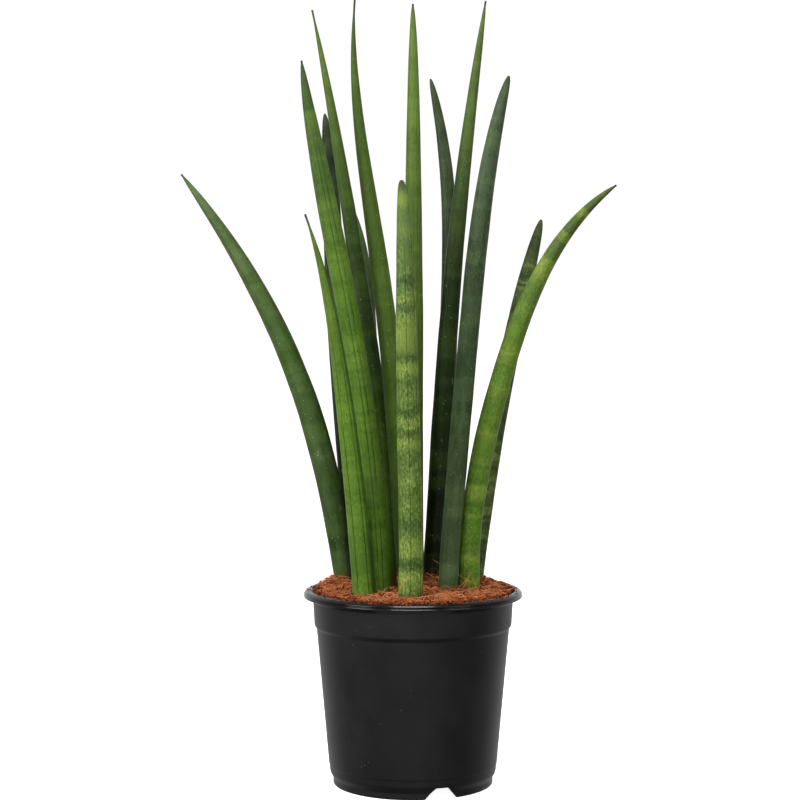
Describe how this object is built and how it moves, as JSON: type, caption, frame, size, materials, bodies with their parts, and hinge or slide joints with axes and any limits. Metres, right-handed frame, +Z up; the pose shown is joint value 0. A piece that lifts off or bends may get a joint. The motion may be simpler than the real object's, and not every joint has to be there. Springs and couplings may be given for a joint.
{
  "type": "potted snake plant",
  "caption": "Spear snake plant: stiff, rod-like green leaves standing in brown coir substrate in a round black plastic nursery pot.",
  "frame": {"origin": "on the pot's axis, in the middle of the flat pad under the pot's floor, level with its foot ring", "axes": "+Z up along the pot's axis, -Y towards the plant's front, +X to the right as seen from the front"},
  "size_m": [0.3396, 0.1966, 0.6121],
  "materials": {
    "black_plastic": "satin black polypropylene, thin-walled, slightly scuffed, glossy on the rolled rim",
    "coir": "red-brown coir fibre and coir crumbs, dull",
    "leaf_light": "light yellow-green living leaf, waxy, fine lengthwise ribs",
    "leaf_mid": "mid green living leaf, waxy, darker lengthwise grooves, greyer towards the tip",
    "leaf_dark": "dark green living leaf, waxy, faint pale cross bands",
    "leaf_banded": "green living leaf with pale and dark cross bands, waxy"
  },
  "bodies": {
    "root": {"nursery_pot": "black_plastic", "coir_substrate": "coir", "leaf_far_left": "leaf_mid", "leaf_tall_left": "leaf_mid", "leaf_slim_left": "leaf_light", "leaf_slim_inner_left": "leaf_light", "leaf_back_left": "leaf_dark", "leaf_front_left": "leaf_light", "leaf_back_inner": "leaf_dark", "leaf_tall_centre": "leaf_light", "leaf_front_centre": "leaf_banded", "leaf_back_centre_right": "leaf_dark", "leaf_tall_right": "leaf_dark", "leaf_upright_right": "leaf_mid", "leaf_bowed_right": "leaf_banded", "leaf_back_right": "leaf_dark"}
  },
  "joints": []
}
